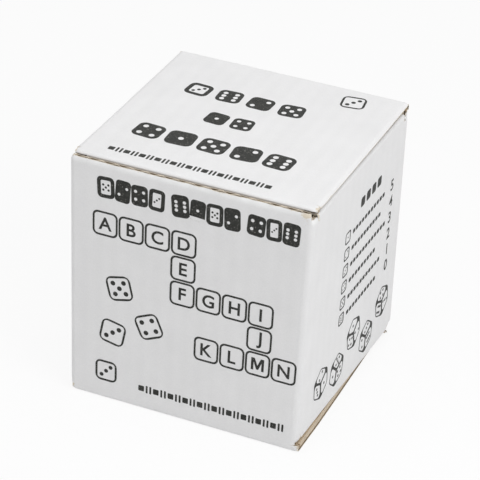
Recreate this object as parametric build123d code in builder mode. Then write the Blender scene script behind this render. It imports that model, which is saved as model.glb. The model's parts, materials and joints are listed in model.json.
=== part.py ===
from build123d import *
import os
from math import cos, radians, sin, tan

# Letter dice word game: a small folded carton of corrugated board, full of wooden dice.
# The carton is of the reverse tuck kind. Its lid hangs on the back wall and tucks in behind
# the front wall. Its bottom hangs on the front wall and tucks in behind the back wall.
# Millimetres. Origin in the middle of the underside, +X right, +Y back, +Z up.

# Wooden dice, stacked three by three by three
die_size = 16.0
die_bevel = 0.8
dice_each_way = 3
column_gap = 0.4  # left to right
row_gap = 0.05  # front to back
layer_gap = 0.05  # one die on another

# Room that the carton leaves round the stack
die_play = 0.1  # between the dice and what holds them
side_room = 1.6  # on the right of the stack
head_room = 4.2  # between the stack and the upper dust flaps
tuck_room = 0.3  # between the dice and the free edge of a tuck flap

# Corrugated board: two flat liners with a wavy medium between them
board = 1.5
liner = 0.2
medium = 0.2
flute_pitch = 3.4
foot_share = 0.76  # a channel's wide side, of the pitch
crest_share = 0.15  # its narrow side, of the pitch
edge_band = 0.7  # whole board beside the outermost channels
crease_band = 1.2  # board crushed flat beside a crease
corner_share = 0.93  # outer radius of a folded upright corner, of the board

# Clearances
fold_gap = 0.15  # between a fold and the board beside it
lid_side_gap = 0.2  # how far the lid's cut sides stay inside the walls
lap_gap = 0.4  # from the left wall's cut edge to the back of the carton

# Walls, measured from the top or underside of the shut carton
raw_drop = 1.0  # down to the cut edge that the tuck flap goes in behind
side_cut = 2.8  # down to the cut corners of the side walls

# Glue tab inside the back left corner
tab_width = 12.0
tab_taper = 4.0  # how much shorter its free edge is, at each end

# Lid and bottom
bottom_taper = 1.3  # how far the bottom's cut sides draw in towards the back
tuck_length = 9.5  # from the crease to the flap's free edge
tuck_lean = 9.0  # degrees that the shut tuck flap leans into the carton
tuck_side_gap = 1.8  # from the flap's sides to the side walls
tuck_radius = 5.0  # rounded free corners

# Dust flaps, folded in from the side walls under the lid and over the bottom
flap_seat = 3.25  # how far a lower dust flap reaches under the middle dice
flap_root = 1.3  # length of the fold before the flap's sides step in
flap_notch = 2.4  # from the carton's face beside the hinge to the start of the fold
flap_angle = 60.0  # degrees of the cut beside the hinge, which lets the flap rise under the lid
flap_radius = 3.0

# The carton is cut to fit the stack, its own glue tab and the tuck flaps that lean in beside it
lean = radians(tuck_lean)
tuck_reach = fold_gap + board / 2 + tuck_length * sin(lean) + board / 2 * cos(lean)
stack_width = dice_each_way * die_size + (dice_each_way - 1) * column_gap
stack_depth = dice_each_way * die_size + (dice_each_way - 1) * row_gap
stack_height = dice_each_way * die_size + (dice_each_way - 1) * layer_gap
carton_width = 2 * board + board + die_play + stack_width + side_room
carton_depth = 2 * board + die_play + stack_depth + tuck_room + tuck_reach
carton_height = 2 * (board + fold_gap + board) + die_play + stack_height + head_room

# Worked out from the sizes above
inner_x = carton_width / 2 - board
inner_y = carton_depth / 2 - board
flute_height = board - 2 * liner - medium
flute_foot = foot_share * flute_pitch
flute_crest = crest_share * flute_pitch
corner_radius = corner_share * board
hinge_y = carton_depth / 2 - board / 2  # hinge line of the lid, in an end's own frame
tuck_y = -inner_y + fold_gap + board / 2  # crease of the tuck flap
lid_drop = board / 2  # down to the middle of the lid's board
flap_drop = board + fold_gap + board / 2  # down to the middle of the dust flaps
hinge_wall_drop = board + fold_gap  # down to the wall that carries the lid
side_wall_drop = flap_drop + board / 2 + fold_gap  # down to the walls that carry dust flaps
flap_back = carton_depth / 2 - flap_notch
flap_front = -inner_y + fold_gap
flap_fold_x = carton_width / 2 - board / 2
flap_length = flap_fold_x - die_size / 2 + flap_seat

# The carton's two ends. Each has its own frame: x right, y towards its hinge, z out of the carton.
top_end = Plane.XY.offset(carton_height)
bottom_end = Plane(origin=(0, 0, 0), x_dir=(1, 0, 0), z_dir=(0, 0, -1))

os.makedirs("parts", exist_ok=True)


def in_frame(frame, plane):
    """A plane that is given in another plane's own coordinates."""
    return Plane(frame.location * plane.location)


def flute_channels(width):
    """Air channels seen at a cut end of board: wide side down and wide side up, turn about."""
    count = int((width - 2 * edge_band - flute_foot) / flute_pitch) + 1
    slope = Vector((flute_foot - flute_crest) / 2, flute_height).get_angle(Vector(1, 0))
    with BuildSketch() as channels:
        with Locations((0, -medium / 2)):
            with GridLocations(flute_pitch, 0, count, 1):
                Trapezoid(flute_foot, flute_height, slope)
        with Locations((0, medium / 2)):
            with GridLocations(flute_pitch, 0, count - 1, 1):
                Trapezoid(flute_foot, flute_height, slope, rotation=180)
    return channels.sketch


def straight_wall(name, left, right, middle_y, low, high):
    """Front or back wall: it stands between the folded corners, and its flutes run upright."""
    channels = flute_channels(right - left)
    with BuildPart() as wall:
        with BuildSketch(Plane(((left + right) / 2, middle_y, low))):
            Rectangle(right - left, board)
            add(channels, mode=Mode.SUBTRACT)
        extrude(amount=high - low)
    wall.part.label = name
    export_step(wall.part, f"parts/{name}.step")


def side_wall(name, side, back_edge):
    """Left (-1) or right (+1) wall with its rounded folds, cut down where the dust flaps leave."""
    front_edge = -carton_depth / 2
    middle = (front_edge + back_edge) / 2
    wall_x = side * flap_fold_x
    relief_length = flap_back + fold_gap + inner_y
    channels = flute_channels(2 * inner_y)
    with BuildPart() as wall:
        with BuildSketch(Plane((wall_x, 0, side_cut), x_dir=(0, side, 0))) as section:
            with Locations((side * middle, 0)):
                Rectangle(back_edge - front_edge, board)
            outer_corners = section.vertices().group_by(Axis.Y)[0].sort_by(Axis.X)
            fillet(outer_corners if side > 0 else outer_corners[-1:], corner_radius)
            add(channels, mode=Mode.SUBTRACT)
        extrude(amount=carton_height - 2 * side_cut)
        for end in (top_end, bottom_end):
            relief_y = flap_back + fold_gap - relief_length / 2
            with BuildSketch(in_frame(end, Plane((wall_x, relief_y, -side_wall_drop)))):
                Rectangle(2 * board, relief_length)
            extrude(amount=side_wall_drop, mode=Mode.SUBTRACT)
    wall.part.label = name
    export_step(wall.part, f"parts/{name}.step")


def glue_tab():
    """Strip that turns the back left corner and is glued flat to the left wall's inside."""
    low = side_wall_drop
    high = carton_height - side_wall_drop
    back = carton_depth / 2
    free_edge = inner_y - tab_width
    channels = flute_channels(tab_width)
    with BuildPart() as tab:
        with BuildSketch(Plane((-inner_x + board / 2, 0, low), x_dir=(0, -1, 0))) as section:
            with Locations((-(back + free_edge) / 2, 0)):
                Rectangle(back - free_edge, board)
            fillet(section.vertices().group_by(Axis.Y)[0].sort_by(Axis.X)[:1], corner_radius)
            with Locations((-(inner_y + free_edge) / 2, 0)):
                add(channels, mode=Mode.SUBTRACT)
        extrude(amount=high - low)
        with BuildSketch(Plane.YZ.offset(-inner_x)):
            with BuildLine():
                Polyline(
                    (back, low),
                    (inner_y, low),
                    (free_edge, low + tab_taper),
                    (free_edge, high - tab_taper),
                    (inner_y, high),
                    (back, high),
                    close=True,
                )
            make_face()
        extrude(amount=2 * board, both=True, mode=Mode.INTERSECT)
    tab.part.label = "glue_tab"
    export_step(tab.part, "parts/glue_tab.step")


def folded_board(fold, width, length):
    """Board that hangs on a crease: fold lies on the crease, x along it, y out into the board."""
    channels = flute_channels(width)
    free_end = in_frame(fold, Plane((0, length, 0), x_dir=(1, 0, 0), z_dir=(0, -1, 0)))
    across = in_frame(fold, Plane((0, 0, 0), x_dir=(0, 1, 0), z_dir=(1, 0, 0)))
    with BuildPart() as strip:
        with BuildSketch(free_end):
            Rectangle(width, board)
            add(channels, mode=Mode.SUBTRACT)
        extrude(amount=length - crease_band)
        with BuildSketch(across):
            Circle(board / 2)
            with Locations((crease_band / 2, 0)):
                Rectangle(crease_band, board)
        extrude(amount=width / 2, both=True)
    return strip.part


def closing_panel(name, end, taper):
    """Lid or bottom: one board from its hinge line to the crease of its tuck flap."""
    half_width = carton_width / 2 - lid_side_gap
    length = hinge_y - tuck_y - board / 2 - 2 * fold_gap
    fold = in_frame(end, Plane((0, hinge_y, -lid_drop), x_dir=(-1, 0, 0)))
    strip = folded_board(fold, 2 * half_width, length)
    with BuildPart() as panel:
        add(strip)
        if taper:
            with BuildSketch(fold):
                with BuildLine():
                    Polyline(
                        (-half_width, -board),
                        (half_width, -board),
                        (half_width, 0),
                        (half_width - taper, length),
                        (taper - half_width, length),
                        (-half_width, 0),
                        close=True,
                    )
                make_face()
            extrude(amount=board, both=True, mode=Mode.INTERSECT)
    panel.part.label = name
    export_step(panel.part, f"parts/{name}.step")


def tuck_flap(name, end):
    """Flap on the lid's or bottom's free edge: full width at its crease, then narrower and rounded."""
    crease_half = carton_width / 2 - lid_side_gap
    half_width = inner_x - tuck_side_gap
    board_normal = (0, -cos(lean), -sin(lean))
    fold = in_frame(end, Plane((0, tuck_y, -lid_drop), x_dir=(-1, 0, 0), z_dir=board_normal))
    strip = folded_board(fold, 2 * crease_half, tuck_length)
    shoulder = board / 4
    with BuildPart() as flap:
        add(strip)
        with BuildSketch(fold) as outline:
            with BuildLine():
                Polyline(
                    (-crease_half, -board),
                    (crease_half, -board),
                    (crease_half, shoulder),
                    (half_width, shoulder),
                    (half_width, tuck_length),
                    (-half_width, tuck_length),
                    (-half_width, shoulder),
                    (-crease_half, shoulder),
                    close=True,
                )
            make_face()
            fillet(outline.vertices().group_by(Axis.Y)[-1], tuck_radius)
        extrude(amount=board, both=True, mode=Mode.INTERSECT)
    flap.part.label = name
    export_step(flap.part, f"parts/{name}.step")


def dust_flap(name, end, side):
    """Flap of a side wall, folded in under the lid or over the bottom: left (-1) or right (+1)."""
    middle = (flap_front + flap_back) / 2
    fold_x = side * flap_fold_x
    step_front = -inner_y + tuck_reach + 2 * fold_gap
    cut_back = flap_back - (flap_length - flap_root) / tan(radians(flap_angle))
    fold = in_frame(end, Plane((fold_x, middle, -flap_drop), x_dir=(0, side, 0)))
    strip = folded_board(fold, flap_back - flap_front, flap_length)
    with BuildPart() as flap:
        add(strip)
        with BuildSketch(fold) as outline:
            with BuildLine():
                Polyline(
                    (side * (flap_front - middle), -board),
                    (side * (flap_front - middle), flap_root),
                    (side * (step_front - middle), flap_root),
                    (side * (step_front - middle), flap_length),
                    (side * (cut_back - middle), flap_length),
                    (side * (flap_back - middle), flap_root),
                    (side * (flap_back - middle), -board),
                    close=True,
                )
            make_face()
            fillet(outline.vertices().group_by(Axis.Y)[-1], flap_radius)
        extrude(amount=board, both=True, mode=Mode.INTERSECT)
    flap.part.label = name
    export_step(flap.part, f"parts/{name}.step")


def die(name, x, y, z):
    """One wooden die with its edges broken, standing on the point that is given."""
    with BuildPart(Plane((x, y, z))) as cube:
        Box(die_size, die_size, die_size, align=(Align.CENTER, Align.CENTER, Align.MIN))
        chamfer(cube.edges(), die_bevel)
    cube.part.label = name
    export_step(cube.part, f"parts/{name}.step")


# Walls
wall_y = carton_depth / 2 - board / 2
straight_wall(
    "front_panel", -inner_x, inner_x, -wall_y, hinge_wall_drop, carton_height - raw_drop
)
straight_wall(
    "back_panel", board - inner_x, inner_x, wall_y, raw_drop, carton_height - hinge_wall_drop
)
side_wall("right_panel", 1, carton_depth / 2)
side_wall("left_panel", -1, carton_depth / 2 - lap_gap)
glue_tab()

# Lid and bottom with their flaps
closing_panel("lid_panel", top_end, 0)
closing_panel("bottom_panel", bottom_end, bottom_taper)
tuck_flap("lid_tuck_flap", top_end)
tuck_flap("bottom_tuck_flap", bottom_end)
for end_name, end in (("top", top_end), ("bottom", bottom_end)):
    for side_name, side in (("left", -1), ("right", 1)):
        dust_flap(f"{end_name}_{side_name}_dust_flap", end, side)

# Dice. The lowest layer lies against the front wall, clear of the bottom's tuck flap, the
# highest against the back wall, clear of the lid's, and the middle one between them.
first_x = -inner_x + board + die_play + die_size / 2
lowest_y = -inner_y + die_play + die_size / 2
highest_y = inner_y - die_play - stack_depth + die_size / 2
floor_z = flap_drop + board / 2 + die_play
number = 0
for layer in range(dice_each_way):
    first_y = lowest_y + (highest_y - lowest_y) * layer / (dice_each_way - 1)
    for row in range(dice_each_way):
        for column in range(dice_each_way):
            number += 1
            die(
                f"die_{number:02d}",
                first_x + column * (die_size + column_gap),
                first_y + row * (die_size + row_gap),
                floor_z + layer * (die_size + layer_gap),
            )
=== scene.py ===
import json
from functools import partial
from math import atan2, cos, pi, radians, sin, tan

import bmesh
import bpy
import numpy as np
from mathutils import Matrix, Quaternion, Vector, noise

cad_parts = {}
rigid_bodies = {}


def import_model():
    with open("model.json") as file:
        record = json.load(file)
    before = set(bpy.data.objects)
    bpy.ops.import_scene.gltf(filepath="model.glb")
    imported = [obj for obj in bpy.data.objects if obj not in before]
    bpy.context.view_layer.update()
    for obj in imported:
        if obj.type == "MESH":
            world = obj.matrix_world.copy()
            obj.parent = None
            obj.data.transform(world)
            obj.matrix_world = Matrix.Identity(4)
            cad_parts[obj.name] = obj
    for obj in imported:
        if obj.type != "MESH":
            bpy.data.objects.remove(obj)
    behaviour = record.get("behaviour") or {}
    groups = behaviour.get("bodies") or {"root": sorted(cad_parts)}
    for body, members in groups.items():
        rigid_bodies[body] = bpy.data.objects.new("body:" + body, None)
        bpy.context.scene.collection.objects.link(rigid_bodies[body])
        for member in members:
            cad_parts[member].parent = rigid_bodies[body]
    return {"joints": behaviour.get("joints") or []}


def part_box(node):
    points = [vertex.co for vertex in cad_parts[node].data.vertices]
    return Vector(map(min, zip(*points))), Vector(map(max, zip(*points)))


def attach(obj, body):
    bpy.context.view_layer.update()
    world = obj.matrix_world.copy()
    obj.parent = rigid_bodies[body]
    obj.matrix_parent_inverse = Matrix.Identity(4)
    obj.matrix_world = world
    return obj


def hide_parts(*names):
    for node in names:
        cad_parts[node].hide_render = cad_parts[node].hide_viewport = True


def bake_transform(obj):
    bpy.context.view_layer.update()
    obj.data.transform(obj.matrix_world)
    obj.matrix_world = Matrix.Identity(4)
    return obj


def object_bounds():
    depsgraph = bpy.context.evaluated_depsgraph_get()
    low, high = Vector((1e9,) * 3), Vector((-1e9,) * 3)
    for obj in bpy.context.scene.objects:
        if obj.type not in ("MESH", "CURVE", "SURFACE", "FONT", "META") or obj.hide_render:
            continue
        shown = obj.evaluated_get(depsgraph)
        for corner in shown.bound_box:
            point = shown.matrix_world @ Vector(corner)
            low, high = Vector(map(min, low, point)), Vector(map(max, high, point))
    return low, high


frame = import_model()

cad_low, cad_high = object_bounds()
mm = 0.001

# SLEEVE
# The four walls and the glue tab are one strip of E flute board, creased four times and glued
# into a tube. Board is three papers: a white-topped liner outside, a brown liner inside, and
# the wavy brown medium between them, whose flutes stand upright in the walls.

front_low, front_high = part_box("front_panel")
back_low, back_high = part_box("back_panel")
right_low, right_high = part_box("right_panel")
left_low, left_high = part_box("left_panel")
tab_low, tab_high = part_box("glue_tab")

board = front_high.y - front_low.y
paper = 0.17 * mm
print_room = 0.02 * mm  # how far the white face stays under the carton's true size, for the ink
face_drop = board / 2 - print_room  # from the board's middle to its white face
flute_pitch = 3.4 * mm
washboard = 0.016 * mm  # how far the liner sinks between two flutes

flute_steps = 10  # mesh columns in one flute
row_pitch = 9 * mm  # between mesh rows, away from the edges
edge_rows = [k * mm for k in (0.0, 0.12, 0.3, 0.6, 0.9, 1.3)]  # mesh rows beside an edge
fold_columns = [k * mm / 10 for k in range(-7, 8)]  # mesh columns across a fold
level_room = 1.5 * mm  # no level row comes nearer to a stepped edge

cut_reach = 1.1 * mm  # how far a cut edge's crush reaches into the board
crease_reach = 1.3 * mm
fold_reach = 1.6 * mm
side_crush = 0.62 * mm  # at an edge that is cut along the flutes
wall_side_crush = 0.3 * mm
end_crush = 0.38 * mm  # at an edge that is cut across them
crease_crush = 0.4 * mm
fold_crush = 0.5 * mm
crush_grain = 2.1 * mm  # the size of the dents along an edge
crush_change = 0.6  # how much the dents change the crush
far_apart = 60 * mm  # gives either end dents of its own
edge_wear = 0.3
cut_roughness = 0.05 * mm
cut_grain = 0.5 * mm
lip_depth = 0.3 * mm  # how far the white liner hangs over a crushed side edge
held_reach = 1.8 * mm  # a side cut's blade holds the flute this far in, less over the last part
held_fade = 0.9 * mm
pressed_reach = 0.35 * mm


def place(tree, kind, inputs=None, **settings):
    """One node of a tree, with its settings and what each of its inputs is or comes from."""
    made = tree.nodes.new(kind)
    for name, value in settings.items():
        setattr(made, name, value)
    for name, value in (inputs or {}).items():
        if isinstance(value, bpy.types.NodeSocket):
            tree.links.new(value, made.inputs[name])
        else:
            made.inputs[name].default_value = value
    return made


def reckon(tree, operation, *values):
    """A Math node's result."""
    return place(tree, "ShaderNodeMath", dict(enumerate(values)), operation=operation).outputs[0]


def sums(tree):
    """The Math nodes used most: add, subtract, multiply, and multiply then add."""
    names = ("ADD", "SUBTRACT", "MULTIPLY", "MULTIPLY_ADD")
    return [partial(reckon, tree, name) for name in names]


def vector_of(tree, x=0.0, y=0.0, z=0.0):
    return place(tree, "ShaderNodeCombineXYZ", {"X": x, "Y": y, "Z": z}).outputs[0]


def xyz_of(tree, vector):
    return place(tree, "ShaderNodeSeparateXYZ", {0: vector}).outputs


def scaled(tree, vector, factor):
    """A vector or a colour, times a factor."""
    return place(tree, "ShaderNodeVectorMath", {0: vector, "Scale": factor},
                 operation="SCALE").outputs["Vector"]


def finish_of(name, roughness, specular=0.5):
    """A material, with its tree and its shader."""
    made = bpy.data.materials.new(name)
    made.use_nodes = True
    shader = made.node_tree.nodes["Principled BSDF"]
    shader.inputs["Roughness"].default_value = roughness
    shader.inputs["Specular IOR Level"].default_value = specular
    return made, made.node_tree, shader


def object_points(tree):
    return place(tree, "ShaderNodeTexCoord").outputs["Object"]


def mark_of(tree, name, output="Fac"):
    """What a mesh's own attribute says, for its finish."""
    return place(tree, "ShaderNodeAttribute", attribute_name=name).outputs[output]


def spread(tree, value, from_low, from_high, low=0.0, high=1.0):
    """A value, with its range made another."""
    return place(tree, "ShaderNodeMapRange", {
        "Value": value, "From Min": from_low, "From Max": from_high,
        "To Min": low, "To Max": high}).outputs["Result"]


def blotches(tree, points, scale, detail, low, high):
    """Soft noise, spread from low to high."""
    grain = place(tree, "ShaderNodeTexNoise", {"Vector": points, "Scale": scale, "Detail": detail})
    return spread(tree, grain.outputs["Fac"], 0.3, 0.7, low, high)


def stretched(tree, points, x, y, z):
    return place(tree, "ShaderNodeMapping", {
        "Vector": points, "Scale": (x, y, z)}).outputs["Vector"]


def mixed(tree, factor, painted, bare):
    """A colour that gives way to a plain one, by a factor."""
    return place(tree, "ShaderNodeMix", {0: factor, 6: painted, 7: (*bare, 1)},
                 data_type="RGBA").outputs[2]


def coloured(tree, shader, colour):
    tree.links.new(colour, shader.inputs["Base Color"])


def bumped(tree, shader, height, strength, depth):
    bump = place(tree, "ShaderNodeBump", {
        "Height": height, "Strength": strength, "Distance": depth})
    tree.links.new(bump.outputs["Normal"], shader.inputs["Normal"])


clay_coat = (0.852, 0.85, 0.854)
bare_fibres = (0.7, 0.63, 0.52)


def paper_white():
    """The coated white face, with painted shade in the washboard's valleys between the flutes, and
    brown fibres where it is worn.
    """
    made, tree, shader = finish_of("white_liner", 0.5, 0.35)
    plus, _, times, times_plus = sums(tree)
    points = object_points(tree)
    cloud = blotches(tree, points, 150.0, 5.0, 0.965, 1.0)
    fibres = blotches(tree, points, 4200.0, 3.0, 0.955, 1.0)
    # Painted shade: the white is made a little darker in the valleys where the liner dips between
    # flutes, and lighter on the ridges.
    ridge_shade = times_plus(mark_of(tree, "ridge"), 0.014, 0.986)
    white = scaled(tree, clay_coat, times(times(cloud, fibres), ridge_shade))
    frayed = plus(mark_of(tree, "wear"), blotches(tree, points, 2600.0, 3.0, -0.35, 0.35))
    coloured(tree, shader, mixed(tree, spread(tree, frayed, 0.45, 0.7), white, bare_fibres))
    waves = blotches(tree, points, 62.0, 2.0, 0.0, 1.0)
    bumped(tree, shader, times_plus(fibres, 1.0, times(waves, 3.0)), 0.35, 0.0001)
    return made


def paper_brown(name, colour, fibre_scale):
    """Unbleached paper, with fibres along the flutes."""
    made, tree, shader = finish_of(name, 0.85, 0.2)
    points = object_points(tree)
    cloud = blotches(tree, points, 420.0, 4.0, 0.88, 1.06)
    fibres = blotches(tree, stretched(tree, points, 1.0, 1.0, 0.3), fibre_scale, 4.0, 0.8, 1.12)
    coloured(tree, shader, scaled(tree, colour, reckon(tree, "MULTIPLY", cloud, fibres)))
    bumped(tree, shader, fibres, 0.5, 0.0003)
    return made


white_liner = paper_white()
liner_edge = paper_brown("liner_cut_edge", (0.79, 0.74, 0.65), 9000.0)
brown_edge = paper_brown("brown_cut_edge", (0.74, 0.65, 0.53), 9000.0)
kraft_liner = paper_brown("kraft_liner", (0.63, 0.505, 0.36), 7000.0)
flute_paper = paper_brown("flute_paper", (0.66, 0.56, 0.43), 7000.0)
# Painted shade: the liners' faces inside the flutes are a dark brown, so the gaps between the
# medium and the liners show dark.
liner_back = paper_brown("liner_back", (0.3, 0.22, 0.14), 7000.0)


def new_tree(name, output, inputs):
    """An empty tree of geometry nodes, and what it is given, by name."""
    tree = bpy.data.node_groups.new(name, "GeometryNodeTree")
    for socket, kind in inputs.items():
        tree.interface.new_socket(socket, in_out="INPUT", socket_type="NodeSocket" + kind)
    tree.interface.new_socket(output, in_out="OUTPUT", socket_type="NodeSocketGeometry")
    return tree, tree.nodes.new("NodeGroupInput").outputs


def attribute_of(tree, name, kind="FLOAT"):
    made = place(tree, "GeometryNodeInputNamedAttribute", {"Name": name}, data_type=kind)
    return made.outputs["Attribute"]


def stored(tree, geometry, name, value, domain="FACE", kind="BOOLEAN"):
    """A geometry with a named attribute on it."""
    return place(tree, "GeometryNodeStoreNamedAttribute", {
        "Geometry": geometry, "Name": name, "Value": value},
        data_type=kind, domain=domain).outputs[0]


def moved(tree, geometry, **how):
    return place(tree, "GeometryNodeSetPosition", {"Geometry": geometry, **how}).outputs[0]


def joined(tree, *parts):
    whole = place(tree, "GeometryNodeJoinGeometry")
    for part in parts:
        tree.links.new(part, whole.inputs[0])
    return whole.outputs[0]


def covered(tree, geometry, material, chosen=True):
    """A geometry with a material on its chosen faces."""
    return place(tree, "GeometryNodeSetMaterial", {
        "Geometry": geometry, "Selection": chosen, "Material": material}).outputs[0]


def one_paper(tree, panel, height, thickness, mark, pulled=0.0):
    """A panel's flat mesh lifted to a height, as paper with two faces and cut edges. Its faces
    are marked, and its side edges may be pulled in. The flutes are thick across their slope."""
    lifted = moved(tree, panel, Offset=vector_of(tree, x=pulled, z=height))
    upright = (place(tree, "GeometryNodeInputNormal").outputs[0] if mark == "flutes"
               else vector_of(tree, z=1.0))
    half = scaled(tree, upright, reckon(tree, "MULTIPLY", thickness, -0.5))
    base = moved(tree, lifted, Offset=half)
    raised = place(tree, "GeometryNodeExtrudeMesh", {
        "Mesh": base, "Offset": upright, "Offset Scale": thickness, "Individual": False},
        mode="FACES").outputs
    marked = stored(tree, stored(tree, raised["Mesh"], "upper", raised["Top"]),
                    "rim", raised["Side"])
    under = place(tree, "GeometryNodeFlipFaces", {"Mesh": base}).outputs[0]
    whole = place(tree, "GeometryNodeMergeByDistance", {
        "Geometry": joined(tree, under, marked), "Distance": 0.001 * mm}).outputs[0]
    return stored(tree, whole, mark, True)


def corrugated_board():
    """A flat panel, with s across the flutes as x and v along them as y, becomes board.
    Its crush attributes say how far each liner gives way at cut edges and creases."""
    tree, given = new_tree("corrugated_board", "Board", {
        "Panel": "Geometry", "Face": "Float", "Back": "Float", "Paper": "Float",
        "Pitch": "Float", "Washboard": "Float", "White": "Material", "Cut edge": "Material",
        "Brown edge": "Material", "Flutes": "Material", "Within": "Material",
        "Kraft": "Material", "Wrap": "Bool", "Plan": "Object", "Fold radius": "Float"})
    plus, less, times, times_plus = sums(tree)
    spot = xyz_of(tree, place(tree, "GeometryNodeInputPosition").outputs[0])
    turn = reckon(tree, "DIVIDE", times(spot["X"], 2 * pi), given["Pitch"])
    wave = reckon(tree, "COSINE", turn)
    ridge = times_plus(wave, 0.5, 0.5)
    calm = attribute_of(tree, "calm")
    sink = times(times(less(1.0, ridge), given["Washboard"]), calm)
    rise = times(times(ridge, given["Washboard"]), calm)
    half_paper = times(given["Paper"], 0.5)
    face = less(less(given["Face"], half_paper), plus(sink, attribute_of(tree, "face_crush")))
    back = plus(plus(given["Back"], half_paper), plus(rise, attribute_of(tree, "back_crush")))
    middle = times(plus(face, back), 0.5)
    reach = less(times(less(face, back), 0.5), given["Paper"])
    held = attribute_of(tree, "held")
    swing = times_plus(attribute_of(tree, "pressed"), held, times(wave, less(1.0, held)))
    medium = times_plus(swing, reach, middle)

    # The ridge mark carries painted shade to the white finish: darker in the washboard's valleys,
    # and even near creases and cut edges.
    shown = times_plus(less(ridge, 0.5), calm, 0.5)
    ribbed = stored(tree, given["Panel"], "ridge", shown, "POINT", "FLOAT")
    lip = attribute_of(tree, "lip")
    three = joined(tree, one_paper(tree, ribbed, face, given["Paper"], "outside"),
                   one_paper(tree, ribbed, medium, given["Paper"], "flutes", lip),
                   one_paper(tree, ribbed, back, given["Paper"], "inside", lip))

    plan = place(tree, "GeometryNodeObjectInfo", {"Object": given["Plan"]}).outputs["Geometry"]
    soft_plan = place(tree, "GeometryNodeFilletCurve", {
        "Curve": plan, "Count": 8, "Radius": given["Fold radius"]}, mode="POLY").outputs[0]
    here = xyz_of(tree, place(tree, "GeometryNodeInputPosition").outputs[0])
    along = place(tree, "GeometryNodeSampleCurve", {
        "Curves": soft_plan, "Length": here["X"]}, mode="LENGTH").outputs
    foot, way = xyz_of(tree, along["Position"]), xyz_of(tree, along["Tangent"])
    wrapped_x = times_plus(way["Y"], here["Z"], foot["X"])
    wrapped_y = less(foot["Y"], times(way["X"], here["Z"]))
    wrapped = moved(tree, three, Selection=given["Wrap"],
                    Position=vector_of(tree, wrapped_x, wrapped_y, here["Y"]))

    angle = place(tree, "GeometryNodeInputMeshEdgeAngle").outputs["Unsigned Angle"]
    sharp = reckon(tree, "GREATER_THAN", angle, radians(40))
    creased = stored(tree, wrapped, "sharp_edge", sharp, "EDGE")
    smooth = place(tree, "GeometryNodeSetShadeSmooth", {"Geometry": creased}).outputs[0]
    real = place(tree, "GeometryNodeRealizeInstances", {"Geometry": smooth}).outputs[0]
    upper, rim, outside, flutes, inside = (attribute_of(tree, name, "BOOLEAN") for name in (
        "upper", "rim", "outside", "flutes", "inside"))

    def which(first, second, operation="AND"):
        return place(tree, "FunctionNodeBooleanMath", {0: first, 1: second},
                     operation=operation).outputs[0]

    # Within goes on the liners' faces toward the flutes: the dark brown of painted shade in the
    # flute gaps.
    done = covered(tree, real, given["Within"])
    for chosen, finish in ((flutes, "Flutes"), (which(inside, upper, "NIMPLY"), "Kraft"),
                           (rim, "Brown edge"), (which(outside, rim), "Cut edge"),
                           (which(outside, upper), "White")):
        done = covered(tree, done, given[finish], chosen)
    place(tree, "NodeGroupOutput", {"Board": done})
    return tree


def steps_between(low, high, pitch):
    count = max(int(round((high - low) / pitch)), 1)
    return [low + (high - low) * i / count for i in range(count + 1)]


def rows_between(low, high, pitch):
    """Places from one edge to the other, closer together beside both."""
    inner = steps_between(low + edge_rows[-1], high - edge_rows[-1], pitch)
    beside = edge_rows[:-1]
    return [low + k for k in beside] + inner + [high - k for k in reversed(beside)]


def fading(distance, reach):
    """1 at an edge, 0 from reach inwards."""
    return max(0.0, 1.0 - distance / reach) ** 2


def grid_faces(columns, rows):
    """The faces of a grid of points, column after column."""
    return [(i * rows + j, (i + 1) * rows + j, (i + 1) * rows + j + 1, i * rows + j + 1)
            for i in range(columns - 1) for j in range(rows - 1)]


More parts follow.
